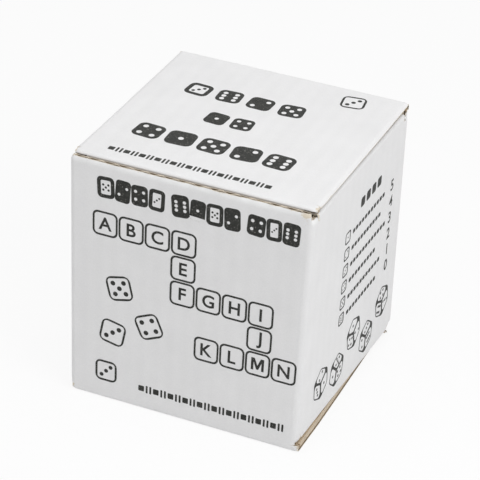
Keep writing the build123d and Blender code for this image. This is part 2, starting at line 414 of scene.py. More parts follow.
def flat_panel(name, low_line, high_line, creases=(), folds=(), side_deep=lambda v: side_crush,
               worn=(), side_flute=0, overhang=lip_depth):
    """A panel cut flat. low_line and high_line give v along s. creases are runs of these edges
    that bend, as (edge, from s, to s). Every other edge is cut. Folds are the s of creases that
    run along the flutes, and worn are scuffed spots, as (s, v, reach, amount). side_deep gives
    the crush of a side cut at v, and overhang how far the white liner hangs over it. There the
    blade may press the cut flute to the face, side_flute 1, or to the back, -1."""
    s_first, s_last = low_line[0][0], low_line[-1][0]
    columns = steps_between(s_first, s_last, flute_pitch / flute_steps)
    columns += [s for s, v in low_line + high_line]
    columns += [s_first + k for k in edge_rows] + [s_last - k for k in edge_rows]
    columns += [f + k for f in folds for k in fold_columns]
    columns = sorted(set(round(s, 7) for s in columns if s_first <= s <= s_last))
    lows = np.interp(columns, *zip(*low_line))
    highs = np.interp(columns, *zip(*high_line))
    length = float(max(highs - lows))
    shares = [k / length for k in rows_between(0.0, length, row_pitch)]
    level = []  # rows that stay level where the edges step
    if folds:
        level = steps_between(max(lows) + level_room, min(highs) - level_room, row_pitch)
    vertices = []
    marks = {key: [] for key in ("face_crush", "back_crush", "calm", "lip", "wear", "held",
                                 "pressed")}
    for s, low, high in zip(columns, lows, highs):
        bent = {edge for edge, first, last in creases if first <= s <= last}
        cut = {"low", "high"} - bent
        left, right = fading(s - s_first, cut_reach), fading(s_last - s, cut_reach)
        beside = min(s - s_first, s_last - s)
        fold = max([fading(abs(s - f), fold_reach) for f in folds] + [0.0])
        if folds:
            lifted = [low + k for k in edge_rows] + level + [high - k for k in edge_rows[::-1]]
            shares = [(v - low) / (high - low) for v in lifted]
        for share in shares:
            v = low + (high - low) * share
            gap = {"low": v - low, "high": high - v}
            rough, end_rough = (
                1.0 + crush_change * noise.noise(Vector((s, at, 0)) / crush_grain)
                for at in (v, far_apart * round(share)))
            ends = max([fading(gap[edge], cut_reach) for edge in cut] + [0.0])
            score = max([fading(gap[edge], crease_reach) for edge in bent] + [0.0])
            spots = [fading(Vector((s - x, v - y)).length, reach) * amount
                     for x, y, reach, amount in worn]
            end_deep = ends * end_crush * end_rough
            side_depth = max(left, right) * side_deep(v) * (0.7 + 0.3 * rough)
            marks["face_crush"].append(max(end_deep, side_depth))
            marks["back_crush"].append(max(end_deep * 0.5, score * crease_crush,
                                           fold * fold_crush))
            marks["calm"].append(1.0 - max(score, fold, left, right))
            marks["lip"].append((left - right) * overhang)
            marks["wear"].append(max([edge_wear * max(ends, left, right) * rough] + spots))
            marks["held"].append(abs(side_flute) * min(1.0, max(
                0.0, (held_reach - beside) / held_fade)))
            marks["pressed"].append(side_flute * (1.0 - 2.0 * min(beside / pressed_reach, 1.0)))
            ragged = cut_roughness * noise.noise(Vector((s, 0, round(share))) / cut_grain)
            if share == shares[0] and "low" in cut:
                v += abs(ragged)
            if share == shares[-1] and "high" in cut:
                v -= abs(ragged)
            vertices.append((s, v, 0.0))
    mesh = bpy.data.meshes.new(name)
    mesh.from_pydata(vertices, [], grid_faces(len(columns), len(shares)))
    for key, values in marks.items():
        mesh.attributes.new(key, "FLOAT", "POINT").data.foreach_set("value", values)
    return mesh


def add_object(name, data):
    made = bpy.data.objects.new(name, data)
    bpy.context.scene.collection.objects.link(made)
    return made


def plain_mesh(source):
    """The plain mesh of an object as it stands with its modifiers. The object goes."""
    depsgraph = bpy.context.evaluated_depsgraph_get()
    mesh = bpy.data.meshes.new_from_object(source.evaluated_get(depsgraph), depsgraph=depsgraph)
    bpy.data.objects.remove(source)
    return mesh


def made_by(tree, name, mesh, values):
    """The plain mesh that a tree makes of a mesh, as a new object."""
    source = add_object(name + "_source", mesh)
    modifier = source.modifiers.new("made", "NODES")
    modifier.node_group = tree
    for socket in tree.interface.items_tree:
        if socket.item_type == "SOCKET" and socket.name in values:
            modifier[socket.identifier] = values[socket.name]
    result = plain_mesh(source)
    result.name = name
    return add_object(name, result)


def forget(made, *keys):
    """Takes attributes that have done their work off a mesh."""
    for key in keys:
        if key in made.data.attributes:
            made.data.attributes.remove(made.data.attributes[key])


board_tree = corrugated_board()


def board_piece(name, panel, origin=None, along=None, outward=None, **wrap):
    """Board made of a flat panel. Its flutes run along a direction, its white face outward."""
    made = made_by(board_tree, name, panel, {
        "Face": face_drop, "Back": -board / 2, "Paper": paper, "Pitch": flute_pitch,
        "Washboard": washboard, "White": white_liner, "Cut edge": liner_edge,
        "Brown edge": brown_edge, "Flutes": flute_paper, "Within": liner_back,
        "Kraft": kraft_liner, **wrap})
    if origin is not None:
        v, w = Vector(along).normalized(), Vector(outward).normalized()
        turn = Matrix((v.cross(w), v, w)).transposed().to_4x4()
        made.data.transform(Matrix.Translation(origin) @ turn)
    forget(made, "face_crush", "back_crush", "calm", "lip", "held", "pressed", "upper", "rim",
           "outside", "flutes", "inside")
    return made


def add_line(curve, points):
    """A line with straight sides through points, in a curve."""
    line = curve.splines.new("POLY")
    line.points.add(len(points) - 1)
    for point, (x, y) in zip(line.points, points):
        point.co = (x, y, 0, 1)
    return line


# The plan of the sleeve, along the middle of its board, from the left wall's raw back edge
# round the front, right and back to the glue tab's free edge.
side_x = right_high.x - board / 2
front_y = front_low.y + board / 2
back_y = back_high.y - board / 2
tab_x = (tab_low.x + tab_high.x) / 2
plan_corners = [(-side_x, left_high.y), (-side_x, front_y), (side_x, front_y), (side_x, back_y),
                (tab_x, back_y), (tab_x, tab_low.y)]
fold_radius = 0.93 * board - board / 2
plan_curve = bpy.data.curves.new("sleeve_plan", "CURVE")
plan_curve.dimensions = "3D"
add_line(plan_curve, plan_corners)
sleeve_plan = add_object("sleeve_plan", plan_curve)

# Where each fold lies on the flat strip: a rounded corner is shorter than a sharp one.
fold_saving = 2 * fold_radius - fold_radius * pi / 2
runs = [(Vector(b) - Vector(a)).length for a, b in zip(plan_corners, plan_corners[1:])]
fold_at = [sum(runs[:i]) - (i - 0.5) * fold_saving for i in range(1, 5)]
strip_end = sum(runs) - 4 * fold_saving

hinge_gap = 0.15 * mm
side_top = right_high.z  # cut corners beside the folds of the dust flaps
flap_line_top = side_top - 0.5 * mm
flap_line_low = right_low.z + 0.5 * mm
flap_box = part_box("top_right_dust_flap")
fold_start_y = flap_box[0].y + 1.0 * mm
fold_end_y = flap_box[1].y
slot_y = front_low.y + 0.7 * mm  # the slot beside the front right corner starts here
left_slot_y = front_low.y + 1.5 * mm
slot_foot = side_top + 0.4 * mm
corner_foot = front_low.z + 0.2 * mm
step = 0.01 * mm  # how wide an upright step in an edge is


def along_left(y):
    return left_high.y - y


def along_right(y):
    return fold_at[1] + (y - front_y) - fold_saving / 2


def stepped(places):
    """An edge line that keeps each level from its place to the next, with upright steps."""
    line = []
    for (s, level), (s_next, _) in zip(places, places[1:]):
        line += [(s + step, level), (s_next - step, level)]
    return [(places[0][0], line[0][1])] + line[1:-1] + [(places[-1][0], line[-1][1])]


tab_start = fold_at[3]
sleeve_top = stepped([
    (0.0, side_top), (along_left(fold_end_y + hinge_gap), flap_line_top),
    (along_left(fold_start_y - hinge_gap), slot_foot), (along_left(left_slot_y), front_high.z),
    (along_right(slot_y), slot_foot), (along_right(fold_start_y - hinge_gap), flap_line_top),
    (along_right(fold_end_y + hinge_gap), side_top), (fold_at[2], back_high.z),
    (tab_start, tab_high.z), (strip_end, tab_high.z)])
sleeve_low = stepped([
    (0.0, right_low.z), (along_left(-fold_start_y + hinge_gap), flap_line_low),
    (along_left(-fold_end_y - hinge_gap), corner_foot), (fold_at[0], front_low.z),
    (fold_at[1], corner_foot), (along_right(-fold_end_y - hinge_gap), flap_line_low),
    (along_right(-fold_start_y + hinge_gap), right_low.z), (along_right(-slot_y), back_low.z),
    (tab_start, tab_low.z), (strip_end, tab_low.z)])
tab_taper = 4.0 * mm
sleeve_top[-1] = (strip_end, tab_high.z - tab_taper)
sleeve_low[-1] = (strip_end, tab_low.z + tab_taper)

flap_run = (fold_start_y - hinge_gap, fold_end_y + hinge_gap)
sleeve_creases = [("low", fold_at[0], fold_at[1]), ("high", fold_at[2], fold_at[3])]
for edge, end in (("high", 1), ("low", -1)):
    near_y, far_y = sorted(end * y for y in flap_run)
    sleeve_creases += [(edge, along_left(far_y), along_left(near_y)),
                       (edge, along_right(near_y), along_right(far_y))]
corner_top = front_high.z
scuffs = [(fold_at[1] - 1.0 * mm, corner_top, 2.2 * mm, 1.9),
          (fold_at[1] + 0.4 * mm, corner_top, 1.0 * mm, 1.1),
          (fold_at[0], corner_top, 0.9 * mm, 1.0),
          (fold_at[1] + 0.4 * mm, corner_foot, 0.7 * mm, 1.0),
          (fold_at[0] - 0.4 * mm, left_low.z, 0.8 * mm, 1.0)]
sleeve = board_piece(
    "sleeve_board",
    flat_panel("sleeve_flat", sleeve_low, sleeve_top, sleeve_creases, fold_at,
               lambda v: wall_side_crush, scuffs),
    Wrap=True, Plan=sleeve_plan, **{"Fold radius": fold_radius})
bpy.data.objects.remove(sleeve_plan)

foot_lean = 1.1 * mm  # how far the front right corner is pushed in at its foot
left_foot_lean = 0.5 * mm


def points_of(mesh):
    """A mesh's points, as rows of x, y and z."""
    co = np.empty(len(mesh.vertices) * 3)
    mesh.vertices.foreach_get("co", co)
    return co.reshape(-1, 3)


def set_points(mesh, co):
    mesh.vertices.foreach_set("co", co.ravel())
    mesh.update()


def leaned(made):
    """The carton has been knocked: its front corners lean in towards their feet."""
    co = points_of(made.data)
    aside = np.clip(co[:, 0] / right_high.x, -1, 1)
    lean = np.where(aside > 0, foot_lean, left_foot_lean) * aside
    front = np.clip((back_high.y - co[:, 1]) / (back_high.y - front_low.y), 0, 1)
    low = np.clip(1 - co[:, 2] / cad_high.z, 0, 1)
    co[:, 0] -= lean * front * low
    set_points(made.data, co)


leaned(sleeve)
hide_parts("front_panel", "back_panel", "left_panel", "right_panel", "glue_tab")
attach(sleeve, "sleeve")

# LID AND BOTTOM
# Each is a square of the same board that hangs on a wall's crease, with its flutes running
# away from the hinge. The die that cut their sides came from the printed face, and it pressed
# the white liner down round the raw edge.

joints = {joint["name"]: Vector(joint["pos_m"]) for joint in frame["joints"]}
lid_low, lid_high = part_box("lid_panel")
lid_length = lid_high.y - lid_low.y
lid_half = (lid_high.x - lid_low.x) / 2
lid_overhang = 0.5 * mm
lid_sag = 0.3 * mm
lid_side_crush = 0.3 * mm  # beside the lid's creases
crush_between, crush_in_front = 0.15 * mm, 0.35 * mm  # added away from them, and to the front
crush_ease = 3 * mm  # how far from a crease the whole of it is added
bottom_side_crush = 0.1 * mm
bottom_taper = 1.3 * mm  # how much narrower the bottom is at its far corners
left_trim, right_trim = 0.9 * mm, 0.35 * mm  # and at its front corners


def hung(name, node, body, joint, panel, along, outward, bend=None):
    """A panel of board on its joint, in place of its solid. bend changes its finished shape."""
    made = board_piece(name, panel, joints[joint], along, outward)
    if bend:
        bend(made)
    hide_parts(node)
    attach(made, body)


def closing_board(body, along, outward, side_deep, taper=0.0, trims=(0.0, 0.0), side_flute=0,
                  overhang=lip_depth, bend=None):
    """The lid or the bottom. taper narrows its far end, and trims the corners at its hinge."""
    name = body + "_board"
    low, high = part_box(body + "_panel")
    half = (high.x - low.x) / 2
    length = high.y - low.y - board / 2
    line = [(-half, 0.0), (half, 0.0)]
    far = [(-half, length), (half, length)]
    creases = (("low", -half, half), ("high", -half, half))
    corners = [(s, v, 1.0 * mm, 0.8) for s in (-half, half) for v in (0.0, length)]
    panel = flat_panel(name + "_flat", line, far, creases, (), side_deep, corners, side_flute,
                       overhang)
    if taper:
        co = points_of(panel)
        trim = np.maximum(taper * co[:, 1] / length, np.where(co[:, 0] > 0, *trims))
        co[:, 0] *= 1 - trim / half
        set_points(panel, co)
    hung(name, body + "_panel", body, body + "_hinge", panel, along, outward, bend)


def lid_side_deep(v):
    """The lid's sides are crushed more towards the front, and less beside its creases."""
    beside = min(1.0, v / crush_ease, 0.4 + (lid_length - board - v) / crush_ease)
    more = crush_between + crush_in_front * v / lid_length
    return lid_side_crush + more * max(beside, 0.0)


def sagged(made):
    """The lid's board is pressed thinner towards its front edge."""
    co = points_of(made.data)
    front = np.clip((joints["lid_hinge"].y - co[:, 1]) / lid_length, 0, 1)
    upper = np.clip((co[:, 2] - lid_low.z) / (lid_high.z - lid_low.z), 0, 1)
    co[:, 2] -= lid_sag * front * upper
    set_points(made.data, co)


closing_board("lid", (0, -1, 0), (0, 0, 1), lid_side_deep, overhang=lid_overhang, bend=sagged)
closing_board("bottom", (0, 1, 0), (0, 0, -1), lambda v: bottom_side_crush, bottom_taper,
              (left_trim, right_trim), 1)

# TUCK FLAPS
# The lid and the bottom each end in a narrow flap with rounded corners. It goes in behind the
# opposite wall and leans a little into the carton.

tuck_lean = radians(9)
tuck_length = 9.5 * mm
tuck_radius = 5.0 * mm
tuck_side_gap = 1.8 * mm
crease_shortfall = 0.15 * mm  # the lid's front crease ends this far inside its corners
wide_strip = 0.375 * mm  # how far the flap is as wide as its crease


def round_corner(s, v, radius, quarter, steps=7):
    """Points of a quarter round about (s, v), from angle quarter * 90 degrees onwards."""
    angles = [(quarter + i / steps) * pi / 2 for i in range(steps + 1)]
    return [(s + radius * cos(a), v + radius * sin(a)) for a in angles]


def tuck_board(body, side, bend=None):
    """side is -1 for the lid's flap, whose white face looks to the front, 1 for the bottom's."""
    name = body + "_board"
    low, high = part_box(body + "_flap")
    wide = (high.x - low.x) / 2 - (crease_shortfall if side < 0 else 0.0)
    half = front_high.x - tuck_side_gap
    corner = half - tuck_radius
    far = [(-wide, wide_strip), (-half - step, wide_strip)]
    far += round_corner(-corner, tuck_length - tuck_radius, tuck_radius, 1)[::-1]
    far += round_corner(corner, tuck_length - tuck_radius, tuck_radius, 0)[::-1]
    far += [(half + step, wide_strip), (wide, wide_strip)]
    panel = flat_panel(name + "_flat", [(-wide, 0.0), (wide, 0.0)], far, (("low", -wide, wide),))
    along = (0, -side * sin(tuck_lean), side * cos(tuck_lean))
    outward = (0, side * cos(tuck_lean), side * sin(tuck_lean))
    hung(name, body + "_flap", body, body + "_fold", panel, along, outward, bend)


tuck_board("lid_tuck", -1, sagged)
tuck_board("bottom_tuck", 1)

# DUST FLAPS
# Four flaps of the side walls fold in under the lid and over the bottom. Their flutes run
# across the carton, and a slanted cut beside the hinge lets them rise past it.

flap_root = 1.3 * mm
flap_radius = 3.0 * mm
flap_angle = radians(60)
step_front_y = -22.386 * mm
dust_flaps = [(f"{end_name}_{side_name}", end, side)
              for end_name, end in (("top", 1), ("bottom", -1))
              for side_name, side in (("left", -1), ("right", 1))]


def dust_board(corner_name, end, side):
    """end is 1 at the top and -1 at the bottom, side 1 at the right and -1 at the left."""
    name, node = corner_name + "_dust_board", corner_name + "_dust_flap"
    body = corner_name + "_flap"
    low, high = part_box(node)
    length = (high.x - low.x) - board / 2
    cut_back_y = fold_end_y - (length - flap_root) / tan(flap_angle)
    front = step_front_y + flap_radius
    back = cut_back_y - flap_radius * tan(flap_angle / 2)
    far = [(fold_start_y, flap_root), (step_front_y - step, flap_root)]
    far += round_corner(front, length - flap_radius, flap_radius, 1)[::-1]
    turn = [(pi / 2 - flap_angle * i / 6) for i in range(7)]
    far += [(back + flap_radius * cos(a), length - flap_radius + flap_radius * sin(a))
            for a in turn]
    far += [(fold_end_y, flap_root)]
    far = [(side * y, v) for y, v in far][::side]
    ends = far[0][0], far[-1][0]
    panel = flat_panel(name + "_flat", [(s, 0.0) for s in ends], far, (("low", *ends),), (),
                       lambda v: wall_side_crush)
    hung(name, node, body, body + "_fold", panel, (-side, 0, 0), (0, 0, end), leaned)


for corner_name, end, side in dust_flaps:
    dust_board(corner_name, end, side)

# CREASES
# Where the board bends, its flutes are crushed and only the two liners run on: the white one
# round the outside of the fold and the brown one round the inside.

arc_steps = 14
arc_wear = 0.07  # the share of a fold's radius that is worn off its outside
core_recess = 0.8 * mm  # how far the crushed flutes end short of a crease's ends
core_radius = board / 2 - paper - 0.25 * mm
core_knob = 0.05 * mm
end_dip = 0.25 * mm
lid_tuck_dip = 0.5 * mm


def shell(name, outer, inner, wear, outer_material, inner_material):
    """A closed thin mesh between two grids of points. Its outer face has its own finish."""
    rows, columns = outer.shape[:2]
    count = rows * columns
    outside = grid_faces(rows, columns)
    inside = [tuple(k + count for k in reversed(face)) for face in outside]
    index = np.arange(count).reshape(rows, columns)
    sides = index[:, 0], index[-1, 1:], index[-2::-1, -1], index[0, -2:0:-1]
    rim = np.concatenate(sides).tolist()
    round_it = [(b, a, a + count, b + count) for a, b in zip(rim, rim[1:] + rim[:1])]
    faces = outside + inside + round_it
    mesh = bpy.data.meshes.new(name)
    points = np.concatenate([outer.reshape(-1, 3), inner.reshape(-1, 3)]).tolist()
    mesh.from_pydata(points, [], faces)
    mesh.materials.append(outer_material)
    mesh.materials.append(inner_material)
    mesh.polygons.foreach_set("material_index", [i >= len(outside) for i in range(len(faces))])
    mesh.polygons.foreach_set("use_smooth", [True] * len(faces))
    shaped = bmesh.new()
    shaped.from_mesh(mesh)
    bmesh.ops.recalc_face_normals(shaped, faces=shaped.faces)
    shaped.to_mesh(mesh)
    shaped.free()
    mesh.set_sharp_from_angle(angle=radians(40))
    # ridge 0.5 gives the skins the even middle of the white finish's painted washboard shade.
    for key, values in (("ridge", [0.5] * 2 * count), ("wear", wear * rows * 2)):
        mesh.attributes.new(key, "FLOAT", "POINT").data.foreach_set("value", values)
    return add_object(name, mesh)


def crease_skin(name, axis, across, span, parent_out, parent_along, child_out, flat, radius,
                side, dip):
    """One liner round a crease, from the parent's outward side to the child's. It runs on along
    the parent for the length flat. side is 1 outside the fold and -1 inside it. Its ends dip
    where the board's cut edges are crushed."""
    out, new = Vector(parent_out).normalized() * side, Vector(child_out).normalized() * side
    turn = out.angle(new)
    tangent = (new - out * out.dot(new)).normalized()
    profile = [(out * radius + Vector(parent_along) * flat * k, out) for k in (1.0, 0.5)]
    for i in range(arc_steps + 1):
        a = turn * i / arc_steps
        normal = out * cos(a) + tangent * sin(a)
        worn_flat = 1.0 - (arc_wear * sin(pi * i / arc_steps) ** 2 if side > 0 else 0.0)
        profile.append((normal * radius * worn_flat, normal))
    spans = rows_between(*span, flute_pitch / 4)
    ends = [fading(min(u - span[0], span[1] - u), cut_reach) for u in spans]
    across = Vector(across)
    outer, inner = (np.array([[axis + p - n * (dip * e + deep) + across * u
                               for u, e in zip(spans, ends)] for p, n in profile])
                    for deep in (0.0, paper))
    finishes = (white_liner, liner_edge) if side > 0 else (kraft_liner, kraft_liner)
    made = shell(name, outer, inner, [1.1 * e for e in ends], *finishes)
    return made, axis + out * radius, axis + new * radius


def crushed_core():
    """The flutes that are crushed in a crease: a bar with a soft knob at each flute."""
    tree, given = new_tree("crushed_core", "Core", {
        "Line": "Geometry", "Pitch": "Float", "Radius": "Float", "Knob": "Float",
        "Kraft": "Material"})
    _, less, times, times_plus = sums(tree)
    line = place(tree, "GeometryNodeMeshToCurve", {"Mesh": given["Line"]}).outputs[0]
    spaced = place(tree, "GeometryNodeResampleCurve", {
        "Curve": line, "Length": reckon(tree, "DIVIDE", given["Pitch"], 6.0)},
        mode="LENGTH").outputs[0]
    at = place(tree, "GeometryNodeSplineParameter").outputs["Length"]
    wave = reckon(tree, "COSINE", reckon(tree, "DIVIDE", times(at, 2 * pi), given["Pitch"]))
    radius = times_plus(wave, given["Knob"], less(given["Radius"], given["Knob"]))
    sized = place(tree, "GeometryNodeSetCurveRadius", {
        "Curve": spaced, "Radius": radius}).outputs[0]
    ring = place(tree, "GeometryNodeCurvePrimitiveCircle", {
        "Resolution": 12, "Radius": 1.0}).outputs[0]
    solid = place(tree, "GeometryNodeCurveToMesh", {
        "Curve": sized, "Profile Curve": ring, "Scale": radius, "Fill Caps": True}).outputs[0]
    smooth = place(tree, "GeometryNodeSetShadeSmooth", {"Geometry": solid}).outputs[0]
    real = place(tree, "GeometryNodeRealizeInstances", {"Geometry": smooth}).outputs[0]
    place(tree, "NodeGroupOutput", {"Core": covered(tree, real, given["Kraft"])})
    return tree


core_tree = crushed_core()


def crease(name, child, axis, across, span, parent_out, parent_along, child_out, flat,
           dip=end_dip):
    """A whole crease: its liners bend between two bodies, and its core turns with the child."""
    fold = (axis, across, span, parent_out, parent_along, child_out, flat)
    bend = leaned if child.endswith("_flap") else sagged if child == "lid_tuck" else None
    for layer, radius, side, sunk in (("_white_liner", face_drop, 1, dip),
                                      ("_brown_liner", board / 2, -1, 0.0)):
        liner, start, end = crease_skin(name + layer, *fold, radius, side, sunk)
        if bend:
            bend(liner)
        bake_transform(liner)
    ends = [tuple(axis + Vector(across) * u) for u in (span[0] + core_recess,
                                                       span[1] - core_recess)]
    mesh = bpy.data.meshes.new(name)
    mesh.from_pydata(ends, [(0, 1)], [])
    core = made_by(core_tree, name + "_crushed_core", mesh, {
        "Pitch": flute_pitch, "Radius": core_radius, "Knob": core_knob, "Kraft": flute_paper})
    if bend:
        bend(core)
    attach(core, child)


tuck_gap = board / 2 + 0.3 * mm
crease("lid_hinge", "lid", joints["lid_hinge"], (1, 0, 0), (-lid_half, lid_half),
       (0, 1, 0), (0, 0, -1), (0, 0, 1), joints["lid_hinge"].z - back_high.z)
crease("bottom_hinge", "bottom", joints["bottom_hinge"], (1, 0, 0),
       (left_trim - lid_half, lid_half - right_trim),
       (0, -1, 0), (0, 0, 1), (0, 0, -1), front_low.z - joints["bottom_hinge"].z)
crease("lid_tuck", "lid_tuck", joints["lid_tuck_fold"], (1, 0, 0),
       (crease_shortfall - lid_half, lid_half - crease_shortfall),
       (0, 0, 1), (0, 1, 0), (0, -cos(tuck_lean), -sin(tuck_lean)), tuck_gap, lid_tuck_dip)
crease("bottom_tuck", "bottom_tuck", joints["bottom_tuck_fold"], (1, 0, 0),
       (bottom_taper - lid_half, lid_half - bottom_taper),
       (0, 0, -1), (0, -1, 0), (0, cos(tuck_lean), sin(tuck_lean)), tuck_gap)
for corner_name, end, side in dust_flaps:
    body = corner_name + "_flap"
    span = (fold_start_y, fold_end_y) if end > 0 else (-fold_end_y, -fold_start_y)
    axis = joints[body + "_fold"]
    flat = axis.z - flap_line_top if end > 0 else flap_line_low - axis.z
    crease(body, body, axis, (0, 1, 0), span, (side, 0, 0), (0, 0, -end), (0, 0, end),
           flat)

# DICE
# Twenty-seven rounded wooden dice, three each way, fill the carton. They are beech, tumbled
# smooth and varnished, and a letter is printed on each face in the colour of its score.

die_low, die_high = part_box("die_01")
die_size = die_high.x - die_low.x
die_rounding = 2.1 * mm
letter_height = 8.2 * mm
letter_lift = 0.02 * mm
glyph_depth = 0.01  # half a letter's or a drawing's thickness, in the units it is drawn in
letter_colours = ((0.86, 0.58, 0.03), (0.05, 0.36, 0.09), (0.03, 0.13, 0.5), (0.78, 0.17, 0.36),
                  (0.62, 0.03, 0.03))
beech = (0.71, 0.5, 0.3)


def varnished_wood():
    made, tree, shader = finish_of("die_wood", 0.34)
    grain_at = mark_of(tree, "grain", "Vector")
    warped = place(tree, "ShaderNodeTexNoise", {
        "Vector": grain_at, "Scale": 90.0, "Detail": 2.0}).outputs["Color"]
    swayed = place(tree, "ShaderNodeVectorMath", {
        0: warped, 1: (0.0012, 0.0012, 0.0), 2: grain_at},
        operation="MULTIPLY_ADD").outputs["Vector"]
    rings = blotches(tree, stretched(tree, swayed, 1.0, 1.0, 0.12), 900.0, 3.0, 0.86, 1.05)
    flecks = blotches(tree, stretched(tree, swayed, 1.0, 3.0, 0.25), 4200.0, 2.0, 0.9, 1.03)
    coloured(tree, shader, scaled(tree, beech, reckon(tree, "MULTIPLY", rings, flecks)))
    bumped(tree, shader, flecks, 0.2, 0.0001)
    shader.inputs["Coat Weight"].default_value = 0.35
    shader.inputs["Coat Roughness"].default_value = 0.18
    return made


def letter_ink():
    made, tree, shader = finish_of("letter_ink", 0.4)
    thin = blotches(tree, object_points(tree), 3000.0, 3.0, 0.85, 1.1)
    coloured(tree, shader, scaled(tree, mark_of(tree, "ink_colour", "Color"), thin))
    return made


def mesh_of(curve):
    """The mesh of a text or a flat drawing, as a thin solid."""
    curve.extrude = glyph_depth
    return plain_mesh(add_object(curve.name, curve))


def drawing(name, outlines):
    """Closed outlines as one flat drawing. An outline inside another is a hole."""
    curve = bpy.data.curves.new(name, "CURVE")
    curve.dimensions = "2D"
    curve.fill_mode = "BOTH"
    for outline in outlines:
        add_line(curve, outline).use_cyclic_u = True
    return curve


wide_m = [(-0.5, -0.5), (-0.5, 0.5), (-0.24, 0.5), (0.0, -0.1), (0.24, 0.5), (0.5, 0.5),
          (0.5, -0.5), (0.31, -0.5), (0.31, 0.18), (0.08, -0.42), (-0.08, -0.42),
          (-0.31, 0.18), (-0.31, -0.5)]


def flat_glyph(text, height, bold):
    """One bold character as a flat thin solid about its own middle, in the units of height."""
    if text == "M":
        curve = drawing("glyph", [wide_m])
    else:
        curve = bpy.data.curves.new("glyph", "FONT")
        curve.body = text
        curve.size = 1.4
        curve.offset = bold
        curve.resolution_u = 4
    mesh = mesh_of(curve)
    co = points_of(mesh)
    set_points(mesh, (co - (co.min(0) + co.max(0)) / 2) * (height, height, 1.0))
    return mesh


def letter_die(name, letters, colours, shift):
    """A rounded cube about its own middle, with a letter on each face."""
    cube = bmesh.new()
    bmesh.ops.create_cube(cube, size=(die_size - 2 * letter_lift) / mm)
    bmesh.ops.bevel(cube, geom=cube.verts[:] + cube.edges[:], offset=die_rounding / mm,
                    segments=4, profile=0.5, affect="EDGES")
    wood = bpy.data.meshes.new("wood")
    cube.to_mesh(wood)
    cube.free()
    shape = bmesh.new()
    shape.from_mesh(wood)
    wood_faces = len(shape.faces)
    sides = [((1, 0, 0), (0, 1, 0)), ((-1, 0, 0), (0, -1, 0)), ((0, 1, 0), (-1, 0, 0)),
             ((0, -1, 0), (1, 0, 0)), ((0, 0, 1), (1, 0, 0)), ((0, 0, -1), (0, 1, 0))]
    tints = [(1, 1, 1, 1)] * wood_faces
    for letter, colour, (out, across) in zip(letters, colours, sides):
        glyph = flat_glyph(letter, letter_height / mm, 0.025)
        out, across = Vector(out), Vector(across)
        turn = Matrix((across, out.cross(across), out)).transposed().to_4x4()
        glyph.transform(Matrix.Translation(out * (die_size / 2 - letter_lift) / mm) @ turn)
        before = len(shape.faces)
        shape.from_mesh(glyph)
        tints += [(*letter_colours[colour], 1)] * (len(shape.faces) - before)
    mesh = bpy.data.meshes.new(name)
    shape.to_mesh(mesh)
    shape.free()
    mesh.transform(Matrix.Scale(mm, 4))
    inked = [i >= wood_faces for i in range(len(mesh.polygons))]
    mesh.polygons.foreach_set("use_smooth", [not ink for ink in inked])
    mesh.set_sharp_from_angle(angle=radians(35))
    for key, kind, domain, field, values in (
            ("ink_colour", "FLOAT_COLOR", "FACE", "color", np.array(tints).ravel()),
            ("inked", "BOOLEAN", "FACE", "value", inked),
            ("grain", "FLOAT_VECTOR", "POINT", "vector", (points_of(mesh) + shift).ravel())):
        mesh.attributes.new(key, kind, domain).data.foreach_set(field, values)
    return add_object(name, mesh)


def packed_dice():
    """Dice of a few kinds, each set down and turned where a point says."""
    tree, given = new_tree("packed_dice", "Dice", {
        "Places": "Geometry", "Kinds": "Collection", "Wood": "Material", "Ink": "Material"})
    kinds = place(tree, "GeometryNodeCollectionInfo", {
        "Collection": given["Kinds"], "Separate Children": True,
        "Reset Children": True}).outputs[0]
    turned = place(tree, "FunctionNodeEulerToRotation", {
        0: attribute_of(tree, "turn", "FLOAT_VECTOR")}).outputs[0]
    set_down = place(tree, "GeometryNodeInstanceOnPoints", {
        "Points": given["Places"], "Instance": kinds, "Pick Instance": True,
        "Instance Index": attribute_of(tree, "kind", "INT"), "Rotation": turned}).outputs[0]
    real = place(tree, "GeometryNodeRealizeInstances", {"Geometry": set_down}).outputs[0]
    wooden = covered(tree, real, given["Wood"])
    inked = covered(tree, wooden, given["Ink"], attribute_of(tree, "inked", "BOOLEAN"))
    place(tree, "NodeGroupOutput", {"Dice": inked})
    return tree


# Six kinds of dice, whose letters spell nothing, are dealt and turned by plain counting.
letter_sets = ("AEBKOR", "TUCLIS", "NDAPEM", "OIGHAT", "SERVUN", "FJYWZX")
die_kinds = bpy.data.collections.new("die_kinds")
bpy.context.scene.collection.children.link(die_kinds)
for i, letters in enumerate(letter_sets):
    kind = letter_die(f"kind_{i}", letters, [(i * 2 + j) % 5 for j in range(6)],
                      (0.05 * i, 0.02 * i, 0.03 * i))
    bpy.context.scene.collection.objects.unlink(kind)
    die_kinds.objects.link(kind)
die_nodes = [f"die_{i:02d}" for i in range(1, 28)]
places = bpy.data.meshes.new("die_places")
places.from_pydata([tuple(sum(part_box(node), Vector()) / 2) for node in die_nodes], [], [])
places.attributes.new("kind", "INT", "POINT").data.foreach_set(
    "value", [(i * 5 + i // 7) % 6 for i in range(27)])
quarters = [((i * 7) % 4, (i * 3 + 1) % 4, (i * 5 + 2) % 4) for i in range(27)]
places.attributes.new("turn", "FLOAT_VECTOR", "POINT").data.foreach_set(
    "vector", [quarter * pi / 2 for turns in quarters for quarter in turns])
dice = made_by(packed_dice(), "letter_dice", places, {
    "Kinds": die_kinds, "Wood": varnished_wood(), "Ink": letter_ink()})
for kind in list(die_kinds.objects):
    bpy.data.objects.remove(kind)
bpy.data.collections.remove(die_kinds)
forget(dice, "inked", "kind", "turn")
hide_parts(*die_nodes)
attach(dice, "sleeve")

# PRINT
# One colour, a brown black, is printed on the board before it is cut. The solid places show
# light specks where the ink missed the paper's fibres. It shows dice, tiles and plain borders.

ink_depth = 0.012 * mm
ink_rise = 0.007 * mm  # from the white face to the middle of the ink
ink_colour = (0.026, 0.027, 0.024)
missed_colour = (0.5, 0.48, 0.45)


